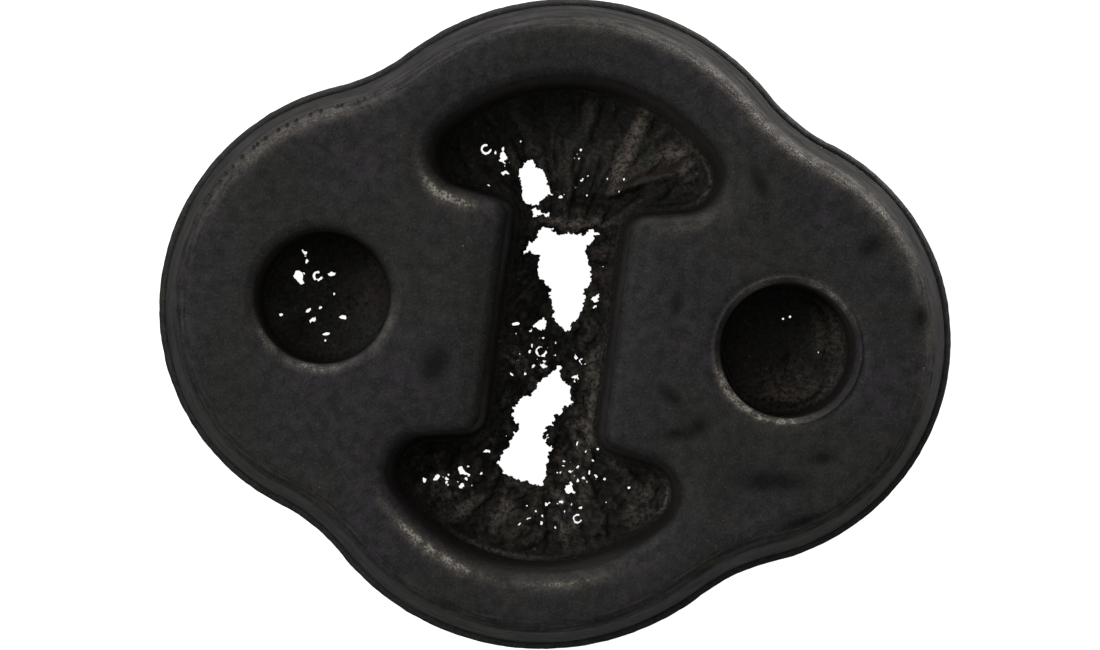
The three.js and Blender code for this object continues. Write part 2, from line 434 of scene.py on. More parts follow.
# x, y, width, length, direction in degrees and depth of the dents in the upper face, in mm.
DENTS = [
    (28.1, 10.3, 1.3, 1.7, 40, 0.16),
    (11.4, -5.4, 0.9, 2.0, -35, 0.12),
    (14.2, -7.9, 1.1, 1.7, 35, 0.16),
    (12.5, -8.8, 0.8, 2.0, 5, 0.12),
    (21.5, -12.1, 1.3, 5.0, 4, 0.14),
    (25.8, -9.4, 0.8, 2.0, 12, 0.10),
    (24.9, -15.4, 0.8, 3.4, 22, 0.10),
    (17.2, 15.1, 0.9, 2.3, -58, 0.12),
    (10.9, 3.2, 0.7, 1.6, 85, 0.05),
    (-10.4, -4.9, 1.8, 2.6, 70, 0.08),
    (33.4, 4.4, 1.2, 2.0, 80, 0.10),
]

shape = vertex_positions(moulding)
facing = np.empty(len(moulding.data.vertices) * 3)
moulding.data.vertices.foreach_get("normal", facing)
facing = facing.reshape(-1, 3)
sink = np.zeros(len(shape))
for (size, depth), seed in ((BROAD_SINK, 3.1), (FINE_SINK, 8.7)):
    sink += depth * (0.5 + 0.5 * np.clip(smooth_noise(shape, size, seed) * 1.6, -1, 1))
rim_distance, in_slot = distance_and_side(face_rings[1], shape[:, :2])
on_face = np.clip((np.abs(shape[:, 2] - MID_HEIGHT) - MID_HEIGHT + 1.6) / 1.2, 0, 1)
sink += on_face * RIM_DIP * np.clip(1 - np.where(in_slot, 0, rim_distance) / RIM_DIP_WIDTH, 0, 1) ** 2
on_top = np.clip((shape[:, 2] - THICKNESS + 2) / 2, 0, 1)
dent_mask = np.zeros(len(shape))
for x, y, width, length, turn, depth in DENTS:
    dent = bell(shape, x, y, width, length, turn) * on_top
    sink += depth * dent
    dent_mask = np.maximum(dent_mask, dent)
set_positions(moulding, shape - facing * sink[:, None])
add_mask(moulding, "dented", dent_mask)
print("deepest point below the mould's surface:", round(float(sink.max()), 2), "mm")

# %% [markdown]
# ## Flash at the parting line
#
# Where the two mould halves met, a little rubber squeezed out and left a thin lip all round. It follows a
# path, so Geometry Nodes sweep a small four-sided section along the parting line and then pull its edge in
# here and there, because flash is never even. A bevelled curve would give the same sweep, but with no way
# to make only the outer edge ragged.

# %% Add nodes to a tree
def add_node(tree, kind, inputs=None, **settings):
    """Adds a node. Each input is a value, or the output socket that feeds it."""
    node = tree.nodes.new(kind)
    for name, value in settings.items():
        setattr(node, name, value)
    for key, value in (inputs or {}).items():
        if isinstance(value, bpy.types.NodeSocket):
            tree.links.new(value, node.inputs[key])
        else:
            node.inputs[key].default_value = value
    return node


def arithmetic(tree, operation, first, second=0.0):
    return add_node(tree, "ShaderNodeMath", {0: first, 1: second}, operation=operation).outputs[0]


def new_tree(name, sizes):
    """A Geometry Nodes tree with named inputs: {name: (socket type, value)}."""
    tree = bpy.data.node_groups.new(name, "GeometryNodeTree")
    tree.interface.new_socket("Geometry", in_out="INPUT", socket_type="NodeSocketGeometry")
    for label, (kind, value) in sizes.items():
        socket = tree.interface.new_socket(label, in_out="INPUT", socket_type=kind)
        if value is not None:
            socket.default_value = value
    tree.interface.new_socket("Geometry", in_out="OUTPUT", socket_type="NodeSocketGeometry")
    return tree, tree.nodes.new("NodeGroupInput"), tree.nodes.new("NodeGroupOutput")


def grown(piece, tree, values):
    """Runs a Geometry Nodes tree on a piece and leaves the plain result in its mesh."""
    modifier = piece.modifiers.new(tree.name, "NODES")
    modifier.node_group = tree
    for item in tree.interface.items_tree:
        if item.in_out == "INPUT" and item.name in values:
            modifier[item.identifier] = values[item.name]
    depsgraph = bpy.context.evaluated_depsgraph_get()
    result = bpy.data.meshes.new_from_object(piece.evaluated_get(depsgraph))
    piece.modifiers.clear()
    old, piece.data = piece.data, result
    result.name = piece.name
    bpy.data.meshes.remove(old)
    result.shade_smooth()
    return piece


# %% A tree that sweeps the flash
FLASH_TUCK = 0.25
RAGGEDNESS = 0.13
RAGGED_LENGTH = 1.3


def flash_tree():
    tree, given, result = new_tree("flash_sweep", {
        "Width": ("NodeSocketFloat", FLASH_WIDTH * MM),
        "Root": ("NodeSocketFloat", FLASH_ROOT * MM),
        "Tip": ("NodeSocketFloat", FLASH_TIP * MM),
        "Tuck": ("NodeSocketFloat", FLASH_TUCK * MM),
        "Raggedness": ("NodeSocketFloat", RAGGEDNESS),
        "Ragged length": ("NodeSocketFloat", RAGGED_LENGTH * MM),
        "Material": ("NodeSocketMaterial", None),
    })
    # The section: four corners, each tucked into the wall or out at the lip, above or below the middle.
    half_root = arithmetic(tree, "MULTIPLY", given.outputs["Root"], 0.5)
    half_tip = arithmetic(tree, "MULTIPLY", given.outputs["Tip"], 0.5)
    corners = {}
    for reach, half, side in (("Tuck", half_root, 1.0), ("Width", half_tip, 1.0),
                              ("Width", half_tip, -1.0), ("Tuck", half_root, -1.0)):
        out = arithmetic(tree, "MULTIPLY", given.outputs[reach], -1.0 if reach == "Tuck" else 1.0)
        up = arithmetic(tree, "MULTIPLY", half, side)
        corner = add_node(tree, "ShaderNodeCombineXYZ", {0: out, 1: up})
        corners[f"Point {len(corners) + 1}"] = corner.outputs[0]
    section = add_node(tree, "GeometryNodeCurvePrimitiveQuadrilateral", corners, mode="POINTS")
    # How far out each corner lies stays with it, so that only the lip is pulled in later.
    position = add_node(tree, "GeometryNodeInputPosition")
    reach = add_node(tree, "ShaderNodeSeparateXYZ", {0: position.outputs[0]})
    marked = add_node(tree, "GeometryNodeStoreNamedAttribute",
                      {"Geometry": section.outputs[0], "Name": "reach", "Value": reach.outputs[0]},
                      data_type="FLOAT", domain="POINT")
    path = add_node(tree, "GeometryNodeMeshToCurve", {"Mesh": given.outputs["Geometry"]})
    upright = add_node(tree, "GeometryNodeSetCurveNormal", {"Curve": path.outputs[0]}, mode="Z_UP")
    swept = add_node(tree, "GeometryNodeCurveToMesh",
                     {"Curve": upright.outputs[0], "Profile Curve": marked.outputs[0]})
    # Noise says what share of its own reach each corner gives back.
    outward = add_node(tree, "GeometryNodeInputNamedAttribute", {"Name": "outward"}, data_type="FLOAT_VECTOR")
    out_by = add_node(tree, "GeometryNodeInputNamedAttribute", {"Name": "reach"}, data_type="FLOAT")
    scale = arithmetic(tree, "DIVIDE", 1.0, given.outputs["Ragged length"])
    uneven = add_node(tree, "ShaderNodeTexNoise", {"Scale": scale, "Detail": 3.0, "Roughness": 0.6})
    share = add_node(tree, "ShaderNodeMapRange",
                     {"Value": uneven.outputs[0], "From Min": 0.3, "From Max": 0.7})
    deep = arithmetic(tree, "MULTIPLY", share.outputs[0], given.outputs["Raggedness"])
    inwards = arithmetic(tree, "MAXIMUM", out_by.outputs[0], 0.0)
    back = arithmetic(tree, "MULTIPLY", arithmetic(tree, "MULTIPLY", inwards, deep), -1.0)
    shift = add_node(tree, "ShaderNodeVectorMath", {0: outward.outputs[0], "Scale": back}, operation="SCALE")
    ragged = add_node(tree, "GeometryNodeSetPosition",
                      {"Geometry": swept.outputs[0], "Offset": shift.outputs[0]})
    plain = add_node(tree, "GeometryNodeRealizeInstances", {"Geometry": ragged.outputs[0]})
    finished = add_node(tree, "GeometryNodeSetMaterial",
                        {"Geometry": plain.outputs[0], "Material": given.outputs["Material"]})
    tree.links.new(finished.outputs[0], result.inputs[0])
    return tree


# %% [markdown]
# ## Rubber
#
# The hanger is EPDM rubber, filled with carbon black and cured in a steel mould. Carbon black makes it
# nearly black all through, the mould gives it a satin skin with a fine grain, and a little wax and brown
# dust comes to the surface with time. To the eye that is a dark grey that wavers between purple and olive,
# with broad soft highlights, pale rims with dust and a painted highlight, darker dents and a few bright
# specks. The mould wall also leaves long marks round the shoulder, and its vents a row of pits on one part
# of it, painted black as painted shade.
#
# A scanned texture could give all this at once, but it would show its seams and its own light. So each
# layer is a pattern on Object coordinates or on the mm along and in from the outline, set in millimetres.
# The real grain is finer than a tenth of a millimetre and too fine to show in the render, so it is drawn as
# coarse as it needs to show.

# %% Colours and shared pieces of a material
def linear(hex_colour):
    """An sRGB hex colour as the linear RGBA that a shader works with."""
    channels = [int(hex_colour[i:i + 2], 16) / 255 for i in (1, 3, 5)]
    return [c / 12.92 if c <= 0.04045 else ((c + 0.055) / 1.055) ** 2.4 for c in channels] + [1.0]


def per_metre(size_mm):
    """The scale that makes a pattern's features about size_mm wide on Object coordinates in metres."""
    return 1.0 / (size_mm * MM)


def mix_colours(tree, factor, first, second):
    """Two colours mixed. Each is a hex colour or the output that feeds it."""
    first, second = (linear(c) if isinstance(c, str) else c for c in (first, second))
    return add_node(tree, "ShaderNodeMix", {0: factor, 6: first, 7: second}, data_type="RGBA").outputs[2]


def spread(tree, value, low, high, to_low=0.0, to_high=1.0):
    """Stretches a value from low..high to to_low..to_high, and clamps it."""
    return add_node(tree, "ShaderNodeMapRange", {"Value": value, "From Min": low, "From Max": high,
                                                 "To Min": to_low, "To Max": to_high}).outputs[0]


def new_material(name):
    material = bpy.data.materials.new(name)
    material.use_nodes = True
    tree = material.node_tree
    tree.nodes.clear()
    shader = add_node(tree, "ShaderNodeBsdfPrincipled")
    add_node(tree, "ShaderNodeOutputMaterial", {"Surface": shader.outputs[0]})
    return material, tree, shader


# %% Moulded rubber
RUBBER_IOR = 1.52
SATIN_ROUGHNESS, SATIN_SHINE = (0.70, 0.54), (0.30, 0.66)
OLIVE_BLACK, PURPLE_BLACK, CARBON_BLACK, HOLLOW_BLACK = "#323127", "#3a333b", "#232223", "#1c1a1b"
GRAIN_DARK, GRAIN_LIGHT, MARK_DARK, MARK_LIGHT = "#121212", "#5a5855", "#161514", "#4b463f"
# The pale dust colour is also a painted highlight, on the rims and on the lit side of the shoulder.
DUST_BROWN, PALE_DUST_HIGHLIGHT, DENT_DARK_BLACK, PIT_SHADE_BLACK = "#8a8076", "#d0cabf", "#060607", "#050505"
SPECK_DULL, SPECK_BRIGHT = "#7a766f", "#b5b0a8"
# How wide the features of each pattern are, in mm.
CLOUD_SIZE, BLOTCH_SIZE, MOTTLE_SIZE, GRAIN_SIZE = 11.0, 4.0, 1.1, 0.22
# How deep each pattern's bumps are, in mm, and how strongly they show.
MOTTLE_BUMP, MARK_BUMP, GRAIN_BUMP, PIT_BUMP = (0.08, 0.8), (0.14, 0.8), (0.05, 0.9), (-0.3, 0.9)
# Bright specks of dust, and more of them that are smaller and paler: (spacing, radius).
SPECKS, FINE_SPECKS = (3.8, 0.09), (2.1, 0.06)
# The marks along the shoulder: their width, their length and how far in they reach.
MARK_WIDTH, MARK_LENGTH, MARK_REACH = 0.30, 4.5, 2.9
# The vent pits are coloured black as painted shade, besides their bump.
PIT_SPACING, PIT_RADIUS, PIT_INSET = 1.0, 0.25, 1.75


def noise_of(tree, where, size_mm, detail=3.0, roughness=0.6):
    settings = {"Vector": where, "Scale": per_metre(size_mm), "Detail": detail, "Roughness": roughness}
    return add_node(tree, "ShaderNodeTexNoise", settings).outputs[0]


def specks_of(tree, where, spacing, radius):
    cells = add_node(tree, "ShaderNodeTexVoronoi", {"Vector": where, "Scale": per_metre(spacing)})
    return spread(tree, cells.outputs["Distance"], 0.6 * radius / spacing, radius / spacing, 1.0, 0.0)


def number_on(tree, name):
    return add_node(tree, "ShaderNodeAttribute", attribute_name=name).outputs["Fac"]


def pits_of(tree, around, inset):
    """1 in a pit of the row, 0 outside, from the mm along the outline and the mm in from it."""
    cells = add_node(tree, "ShaderNodeTexVoronoi", {"W": around, "Scale": 1 / PIT_SPACING, "Randomness": 0.9},
                     voronoi_dimensions="1D")
    along = arithmetic(tree, "MULTIPLY", cells.outputs["Distance"], PIT_SPACING)
    across = arithmetic(tree, "SUBTRACT", inset, PIT_INSET)
    reach = arithmetic(tree, "SQRT", arithmetic(tree, "ADD", arithmetic(tree, "MULTIPLY", along, along),
                                                arithmetic(tree, "MULTIPLY", across, across)))
    pit = spread(tree, reach, 0.5 * PIT_RADIUS, PIT_RADIUS, 1.0, 0.0)
    return arithmetic(tree, "MULTIPLY", number_on(tree, "pitted"), pit)


def marks_of(tree, around, inset):
    """Noise drawn out along the outline, 0.5 where there are no marks."""
    stretched = add_node(tree, "ShaderNodeCombineXYZ", {0: arithmetic(tree, "DIVIDE", around, MARK_LENGTH),
                                                        1: arithmetic(tree, "DIVIDE", inset, MARK_WIDTH)})
    settings = {"Vector": stretched.outputs[0], "Scale": 1.0, "Detail": 3.0, "Roughness": 0.7}
    lines = add_node(tree, "ShaderNodeTexNoise", settings).outputs[0]
    near = spread(tree, inset, MARK_REACH - 0.4, MARK_REACH, 1.0, 0.0)
    off = arithmetic(tree, "MULTIPLY", arithmetic(tree, "SUBTRACT", lines, 0.5), near)
    return arithmetic(tree, "ADD", off, 0.5)


def moulded_rubber():
    material, tree, shader = new_material("moulded_black_rubber")
    here = add_node(tree, "ShaderNodeTexCoord").outputs["Object"]
    clouds = noise_of(tree, here, CLOUD_SIZE, 3.0, 0.55)
    blotches = noise_of(tree, here, BLOTCH_SIZE, 2.0)
    mottle = noise_of(tree, here, MOTTLE_SIZE, 5.0, 0.7)
    grain = noise_of(tree, here, GRAIN_SIZE, 2.0)
    around, inset = number_on(tree, "around_mm"), number_on(tree, "inset_mm")
    marks = marks_of(tree, around, inset)
    pits = pits_of(tree, around, inset)
    # The rubber itself: clouds of colour, darker blotches, mottle and grain.
    tint = mix_colours(tree, spread(tree, clouds, 0.42, 0.60), OLIVE_BLACK, PURPLE_BLACK)
    tint = mix_colours(tree, spread(tree, blotches, 0.62, 0.30, 0.0, 0.6), tint, CARBON_BLACK)
    shade = mix_colours(tree, spread(tree, mottle, 0.37, 0.61), HOLLOW_BLACK, tint)
    shade = mix_colours(tree, spread(tree, grain, 0.45, 0.28, 0.0, 0.7), shade, GRAIN_DARK)
    shade = mix_colours(tree, spread(tree, grain, 0.56, 0.72, 0.0, 0.45), shade, GRAIN_LIGHT)
    # Dust on the rims and on the lit side of the shoulder, caught by the mottle and the grain. Its pale
    # colour is partly real dust and partly a painted highlight.
    dust_and_highlight = arithmetic(tree, "MULTIPLY", number_on(tree, "wear_and_highlight"), spread(tree, mottle, 0.36, 0.56, 0.4, 1.0))
    dust_and_highlight = arithmetic(tree, "MULTIPLY", dust_and_highlight, spread(tree, grain, 0.34, 0.60, 0.4, 1.0))
    dusted = mix_colours(tree, dust_and_highlight, shade, DUST_BROWN)
    dusted = mix_colours(tree, spread(tree, dust_and_highlight, 0.45, 0.95, 0.0, 0.85), dusted, PALE_DUST_HIGHLIGHT)
    # Darker in the dents, with edges that the mottle breaks up.
    uneven = arithmetic(tree, "MULTIPLY", arithmetic(tree, "SUBTRACT", mottle, 0.5), 2.2)
    dark = arithmetic(tree, "ADD", number_on(tree, "dented"), uneven)
    dark = arithmetic(tree, "MULTIPLY", spread(tree, dark, 0.1, 0.9, 0.0, 0.9),
                      spread(tree, number_on(tree, "dented"), 0.04, 0.30))
    stained = mix_colours(tree, dark, dusted, DENT_DARK_BLACK)
    # The mould's marks, specks of dust and the vent pits lie on top. The pits are painted black as painted
    # shade.
    stained = mix_colours(tree, spread(tree, marks, 0.46, 0.36, 0.0, 0.5), stained, MARK_DARK)
    stained = mix_colours(tree, spread(tree, marks, 0.54, 0.64, 0.0, 0.5), stained, MARK_LIGHT)
    specked = mix_colours(tree, specks_of(tree, here, *FINE_SPECKS), stained, SPECK_DULL)
    specked = mix_colours(tree, specks_of(tree, here, *SPECKS), specked, SPECK_BRIGHT)
    tree.links.new(mix_colours(tree, pits, specked, PIT_SHADE_BLACK), shader.inputs["Base Color"])
    # The finish: smoother on the mottle's crests, shinier on the marks and dull in the darkened dents.
    tree.links.new(spread(tree, mottle, 0.3, 0.7, *SATIN_ROUGHNESS), shader.inputs["Roughness"])
    shine = spread(tree, marks, 0.38, 0.62, *SATIN_SHINE)
    tree.links.new(arithmetic(tree, "MULTIPLY", shine, spread(tree, dark, 0, 1, 1.0, 0.5)),
                   shader.inputs["Specular IOR Level"])
    shader.inputs["IOR"].default_value = RUBBER_IOR
    bump = None
    for height, (depth, strength) in ((mottle, MOTTLE_BUMP), (marks, MARK_BUMP), (grain, GRAIN_BUMP),
                                      (pits, PIT_BUMP)):
        layer = {"Height": height, "Distance": depth * MM, "Strength": strength}
        if bump:
            layer["Normal"] = bump
        bump = add_node(tree, "ShaderNodeBump", layer).outputs[0]
    tree.links.new(bump, shader.inputs["Normal"])
    return material


rubber = moulded_rubber()
moulding.data.materials.append(rubber)
print("materials:", [material.name for material in bpy.data.materials])

# %% Sweep the flash
def closed_path(name, ring_mm, normals, height):
    """A loop of edges with its outward direction stored on each point."""
    mesh = bpy.data.meshes.new(name)
    points = np.column_stack([ring_mm, np.full(len(ring_mm), height)]) * MM
    mesh.from_pydata(points.tolist(), [(i, (i + 1) % len(points)) for i in range(len(points))], [])
    outward = mesh.attributes.new("outward", "FLOAT_VECTOR", "POINT")
    outward.data.foreach_set("vector", np.column_stack([normals, np.zeros(len(normals))]).ravel())
    piece = bpy.data.objects.new(name, mesh)
    bpy.context.scene.collection.objects.link(piece)
    return piece


flash = closed_path("parting_flash", leaning(body_ring), body_normals, MID_HEIGHT)
grown(flash, flash_tree(), {"Material": rubber})
facing_outwards(flash)
reached = vertex_positions(flash)
print("flash reaches from", reached.min(axis=0).round(2), "to", reached.max(axis=0).round(2))
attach(flash, "root")

# %% [markdown]
# ## Skins that the mould left
#
# The two mould halves don't seal where their cores meet in the slot and in the bores, so the rubber leaves
# a thin skin there, half way down. Nobody trims it: the first rod pushes it out of a bore, and in the slot
# it tears by itself into ragged holes. We describe the skin by a number at each point of a fine grid, how
# far it is from the nearest hole, and cut the grid where that number is nought. A boolean with many small
# shapes could cut the same holes, but would leave slivers and would not give ragged edges.

# %% Cut a grid where a value is nought
def cut_grid(rows, value_at):
    """Triangles of a hexagonal grid, cut off where the value falls below 0."""
    starts = np.cumsum([0] + [len(row) for row in rows])
    points = np.concatenate(rows)
    value = value_at(points)
    triangles = []
    for j in range(len(rows) - 1):
        low, high = starts[j] + np.arange(len(rows[j]) - 1), starts[j + 1] + np.arange(len(rows[j]) - 1)
        if j % 2:
            triangles += [np.stack([low, high + 1, high], 1), np.stack([low, low + 1, high + 1], 1)]
        else:
            triangles += [np.stack([low, low + 1, high], 1), np.stack([low + 1, high + 1, high], 1)]
    triangles = np.concatenate(triangles)
    value = np.where(np.abs(value) < 0.02, 0.02, value)
    solid = (value[triangles] > 0).sum(axis=1)
    faces = triangles[solid == 3].tolist()
    cuts, extra = {}, []

    def cut_between(a, b):
        key = (min(a, b), max(a, b))
        if key not in cuts:
            share = value[key[0]] / (value[key[0]] - value[key[1]])
            cuts[key] = len(points) + len(extra)
            extra.append(points[key[0]] + share * (points[key[1]] - points[key[0]]))
        return cuts[key]

    for triangle in triangles[(solid == 1) | (solid == 2)].tolist():
        face = []
        for a, b in zip(triangle, triangle[1:] + triangle[:1]):
            if value[a] > 0:
                face.append(a)
            if (value[a] > 0) != (value[b] > 0):
                face.append(cut_between(a, b))
        faces.append(face)
    everything = np.concatenate([points, np.array(extra).reshape(-1, 2)])
    used = sorted({i for face in faces for i in face})
    renumbered = {old: new for new, old in enumerate(used)}
    return everything[used], [[renumbered[i] for i in face] for face in faces]


# %% Keep what is joined to the wall
def largest_sheet(points, faces):
    """Leaves out the scraps that the holes have cut free."""
    parent = list(range(len(points)))

    def root(i):
        while parent[i] != i:
            parent[i] = parent[parent[i]]
            i = parent[i]
        return i

    for face in faces:
        first = root(face[0])
        for i in face[1:]:
            parent[root(i)] = first
    roots = [root(face[0]) for face in faces]
    main = max(set(roots), key=roots.count)
    kept = [face for face, r in zip(faces, roots) if r == main]
    used = sorted({i for face in kept for i in face})
    renumbered = {old: new for new, old in enumerate(used)}
    return points[used], [[renumbered[i] for i in face] for face in kept]


# %% Where the slot's skin is torn
# The edges of the three large tears, in mm from the middle of the part, seen from above.
UPPER_TEAR = [(-5.0, 14.7), (-3.8, 15.1), (-2.4, 13.7), (-1.5, 12.0), (-2.4, 11.5), (-2.9, 10.7),
              (-1.7, 10.3), (-1.6, 10.0), (-3.2, 9.5), (-3.4, 10.6), (-4.4, 11.2), (-5.1, 13.6)]
MIDDLE_TEAR = [(-2.5, 9.1), (-1.3, 9.0), (-0.9, 8.6), (1.8, 8.7), (2.6, 9.6), (3.2, 8.9), (2.1, 7.1),
               (3.0, 5.0), (2.4, 3.2), (2.6, 1.5), (1.0, -0.7), (-0.4, 0.7), (-0.5, 1.7), (-1.2, 3.7),
               (-2.4, 4.4), (-2.2, 6.2), (-3.7, 6.4), (-3.5, 7.1), (-2.5, 8.2)]
LOWER_TEAR = [(1.0, -3.5), (1.2, -4.9), (2.0, -5.3), (2.5, -6.9), (1.2, -8.7), (0.4, -9.8), (0.6, -11.1),
              (1.3, -11.6), (0.8, -13.1), (0.9, -15.4), (-1.3, -15.1), (-3.4, -14.3), (-4.1, -13.4),
              (-3.0, -11.5), (-2.5, -10.0), (-3.2, -8.5), (-2.8, -7.4), (-1.7, -6.8)]
# x, y, width, length and direction in degrees of the small holes beside them.
SMALL_HOLES = [(-1.1, -0.1, 1.1, 1.6, 10), (-3.6, -0.4, 0.55, 0.65, 0), (3.4, 2.9, 0.5, 0.8, 50),
               (2.5, -4.7, 0.65, 0.75, 90), (2.3, -3.3, 0.35, 0.9, 80), (3.1, -15.1, 0.7, 1.1, -45),
               (-6.9, -14.7, 0.5, 1.2, -25), (-4.8, -12.6, 0.6, 0.75, 30), (-6.0, 13.4, 0.35, 0.9, -65),
               (-6.7, 15.5, 0.25, 0.7, -70), (-1.0, 11.8, 0.3, 1.0, 20),
               (5.4, -13.7, 0.4, 0.6, -30), (-9.1, -15.5, 0.25, 0.5, 20),
               (-10.3, -15.9, 0.2, 0.6, -30), (1.8, -16.7, 0.25, 0.6, 0), (2.3, -19.0, 0.3, 0.55, -40),
               (1.2, -2.0, 0.3, 0.55, 30), (-0.5, -4.0, 0.3, 0.6, 25), (-2.2, -5.1, 0.25, 0.6, 30),
               (-7.0, -16.1, 0.3, 0.5, 60), (0.0, 15.5, 0.18, 0.6, 80), (0.5, 15.4, 0.15, 0.45, 80),
               (8.0, 15.0, 0.22, 0.45, -25), (4.9, 14.3, 0.16, 0.4, 75), (-4.2, -8.1, 0.35, 0.45, 0),
               (6.2, -15.8, 0.2, 0.4, 0), (8.7, -14.4, 0.18, 0.3, 30)]
# x, y, outer and inner radius.
RING_HOLES = [(-8.3, 15.5, 0.52, 0.28), (-1.0, -2.7, 0.56, 0.30), (4.2, -17.9, 0.48, 0.26),
              (-6.6, 14.9, 0.42, 0.22), (3.0, -3.2, 0.40, 0.20)]
BRIDGE_HALF_WIDTH = 0.12
# Bites in a torn edge, from coarse to fine: (mm wide, mm deep).
TEAR_BITES = ((0.9, 0.17), (0.42, 0.17), (0.24, 0.12))
# x, y, width, length, direction and number of the clusters of pinholes.
PINHOLES = [(-6.7, -15.5, 1.3, 2.6, 10, 14), (3.5, -13.8, 2.4, 3.2, 60, 34), (1.2, -17.8, 1.5, 2.8, 10, 12),
            (-1.2, -2.4, 2.4, 2.6, 0, 34), (-6.8, 13.9, 1.2, 1.8, 60, 10), (1.0, 12.8, 1.6, 3.4, 5, 10),
            (3.6, 3.6, 0.6, 2.6, 80, 6), (-2.8, -11.2, 0.8, 3.4, 75, 8)]
PINHOLE_SIZES, PINHOLE_CLEARANCE = (0.14, 0.32), 0.3
# The skin reaches this far into the wall, so that no gap shows.
SKIN_TUCK = 0.35
SKIN_PITCH = 0.16
SLOT_CORNER = np.array([15.5, 23.5])


def ellipse_distance(points, x, y, width, length, turn):
    dx, dy = points[:, 0] - x, points[:, 1] - y
    along = dx * cosine(turn) + dy * sine(turn)
    across = dy * cosine(turn) - dx * sine(turn)
    return (np.hypot(along / (length / 2), across / (width / 2)) - 1) * min(width, length) / 2


def ring_distance(points, x, y, outer, inner):
    """Distance to a curled tear: a ring-shaped hole whose middle still hangs on by a bridge."""
    reach = np.hypot(points[:, 0] - x, points[:, 1] - y)
    gap = np.abs(reach - (outer + inner) / 2) - (outer - inner) / 2
    bridge = np.abs(points[:, 0] - x - inner) + np.where(points[:, 1] > y, 0, 9) - BRIDGE_HALF_WIDTH
    return np.maximum(gap, -bridge)


def roughened(distance, points, seed):
    """Makes an even edge ragged: coarse bites, with finer ones on top."""
    for step, (size, depth) in enumerate(TEAR_BITES):
        distance = distance + depth * 1.8 * smooth_noise(points, size, seed + 5.3 * step)
    return distance


def tear_distance(points):
    """Distance to the nearest large tear, negative in a tear."""
    nearest = np.full(len(points), 99.0)
    for edge in (UPPER_TEAR, MIDDLE_TEAR, LOWER_TEAR):
        distance, inside = distance_and_side(np.array(edge), points)
        nearest = np.minimum(nearest, np.where(inside, -distance, distance))
    return nearest


def slot_skin_value(points):
    distance, inside = distance_and_side(leaning(slot_ring), points)
    wall = np.where(inside, distance, -distance) + SKIN_TUCK
    tears = tear_distance(points)
    value = roughened(tears, points, 1.7)
    draw = np.random.default_rng(41)
    for hole in SMALL_HOLES:
        near = np.abs(points - np.array(hole[:2])).max(axis=1) < 2
        gap = roughened(ellipse_distance(points[near], *hole), points[near], 9.1) + 0.04
        value[near] = np.minimum(value[near], gap)
    for ring in RING_HOLES:
        value = np.minimum(value, ring_distance(points, *ring))
    spots = []
    for x, y, width, length, turn, count in PINHOLES:
        along, across = draw.normal(0, length / 2, count), draw.normal(0, width / 2, count)
        spots.append(np.column_stack([x + along * cosine(turn) - across * sine(turn),
                                      y + along * sine(turn) + across * cosine(turn)]))
    spots = np.concatenate(spots)
    spots = spots[tear_distance(spots) > PINHOLE_CLEARANCE]
    for x, y in spots:
        near = np.abs(points - np.array([x, y])).max(axis=1) < 1
        size = draw.uniform(*PINHOLE_SIZES)
        gap = ellipse_distance(points[near], x, y, size, size * draw.uniform(1, 2), draw.uniform(0, 180))
        value[near] = np.minimum(value[near], gap)
    print("pinholes beside the tears:", len(spots))
    return np.minimum(wall, value)


slot_rows = hexagonal_grid(-SLOT_CORNER, SLOT_CORNER, SKIN_PITCH)
skin_points, skin_faces = largest_sheet(*cut_grid(slot_rows, slot_skin_value))
print("slot skin:", len(skin_points), "points,", len(skin_faces), "faces")

# %% [markdown]
# ### Folds of the slot's skin
#
# The skin cured while it was pinched between the mould's cores, and shrank as it cooled, so it is drawn
# into folds that run from the wall towards the tears. Its torn edges curl. We lift each point of the cut
# grid by a height that follows the same directions.

# %% Lift the skin into folds
SKIN_THICKNESS = 0.26
# Crest lines of the large folds, in mm, with their width and height.
FOLDS = [
    ([(6.4, 20.6), (5.6, 18.0), (4.4, 14.4)], 0.75, 0.7),
    ([(10.8, 17.6), (8.2, 16.6), (5.0, 14.0)], 0.5, 0.7),
    ([(9.4, 15.2), (7.0, 14.4), (4.2, 12.9)], 0.3, 0.6),
    ([(0.5, 11.7), (3.5, 12.0), (6.5, 13.4)], 0.55, -0.6),
    ([(-2.0, -17.5), (-3.5, -20.0)], 0.45, 0.5),
    ([(0.5, -17.0), (-1.2, -19.8)], 0.4, 0.5),
    ([(-5.0, -17.0), (-7.4, -19.4)], 0.45, 0.5),
    ([(-2.2, 9.6), (0.5, 9.2), (2.8, 9.9)], 0.45, 0.6),
    ([(4.6, -5.0), (4.4, -9.0), (4.7, -12.5)], 0.3, 0.6),
]
# Where the skin meets the wall it has a thin raised lip, with a painted highlight in the places given below.
LIP_HEIGHT, LIP_WIDTH = 0.30, 0.2
LIP_HIGHLIGHT_PLACES = [(11.4, 15.4, 3.0, 5.0, -62), (12.2, -15.0, 3.0, 4.0, 60), (-3.0, -21.0, 3.0, 7.0, -8)]
# x, y, width, length and direction of the patches where dust and wax have settled.
DUST = [
    (5.6, 19.0, 1.2, 3.2, 72), (4.4, 15.2, 1.4, 3.6, 70), (9.3, 17.2, 1.4, 3.0, 35), (0.4, 9.5, 1.2, 6.5, 4),
    (10.6, -15.3, 2.2, 3.4, 60), (-2.4, -4.2, 3.0, 3.6, 0), (2.8, -17.2, 2.6, 5.0, 80),
    (-3.2, -17.6, 1.6, 3.6, 60), (4.2, -9.5, 2.0, 4.2, 88), (11.0, 15.0, 1.6, 3.0, 85),
    (-7.6, -17.4, 2.6, 4.6, -30), (4.3, -4.0, 1.4, 6.0, 88), (-4.0, -3.0, 1.4, 5.0, 85),
]
